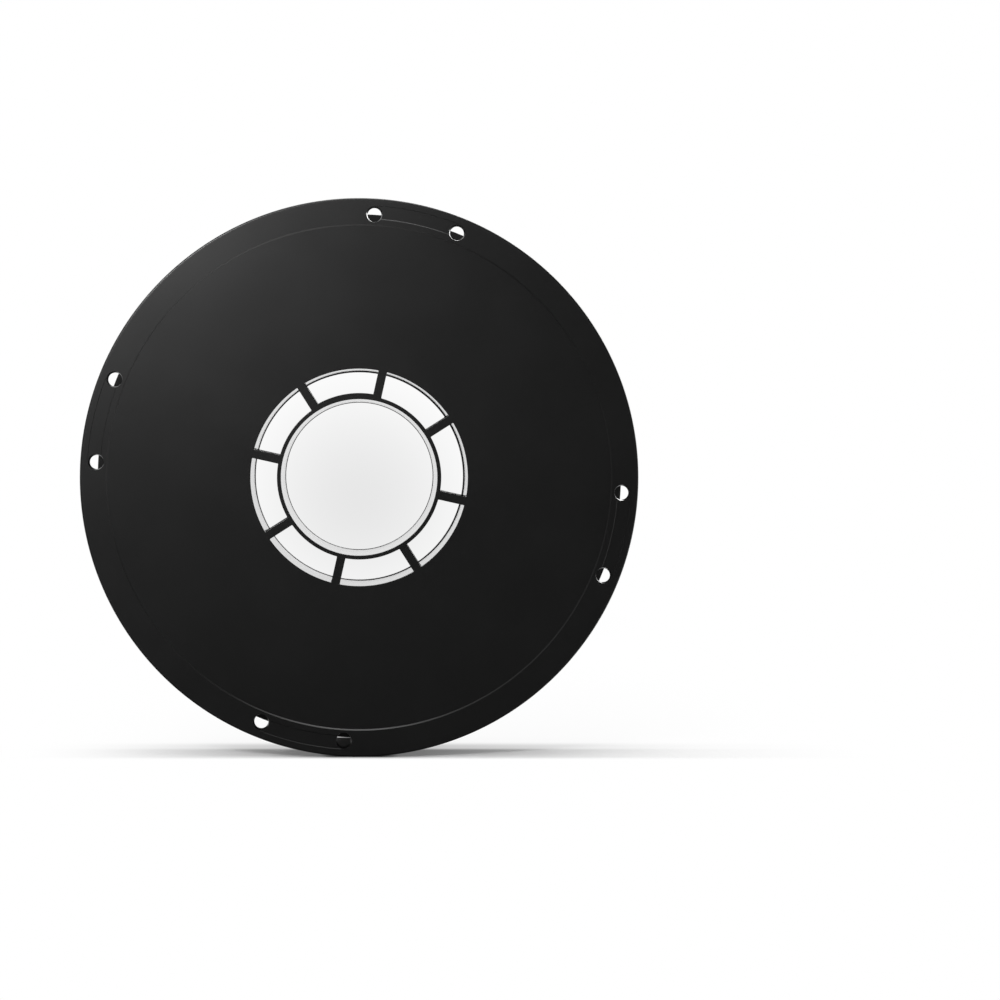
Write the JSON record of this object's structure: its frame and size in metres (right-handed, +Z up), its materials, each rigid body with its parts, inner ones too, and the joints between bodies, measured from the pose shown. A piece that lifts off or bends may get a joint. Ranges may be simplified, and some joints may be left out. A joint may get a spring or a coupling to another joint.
{
  "type": "filament spool",
  "caption": "Plastic spool with two flat flanges, a spindle bore, spoked hub windows and paired rim holes, wound full of filament.",
  "frame": {"origin": "centre of the spindle bore, half way between the two flanges", "axes": "Y along the spindle with the front flange facing -Y, +Z up, the spool standing on its rims"},
  "size_m": [0.2, 0.067, 0.2],
  "materials": {
    "spool_plastic": "black moulded plastic with a fine grain and a soft satin sheen",
    "filament": "black extruded filament, smooth satin"
  },
  "bodies": {
    "root": {"front_flange": "spool_plastic", "rear_flange": "spool_plastic", "winding_drum": "spool_plastic", "spindle_sleeve": "spool_plastic", "filament_inner_layers": "filament", "filament_outer_layer": "filament"}
  },
  "joints": []
}
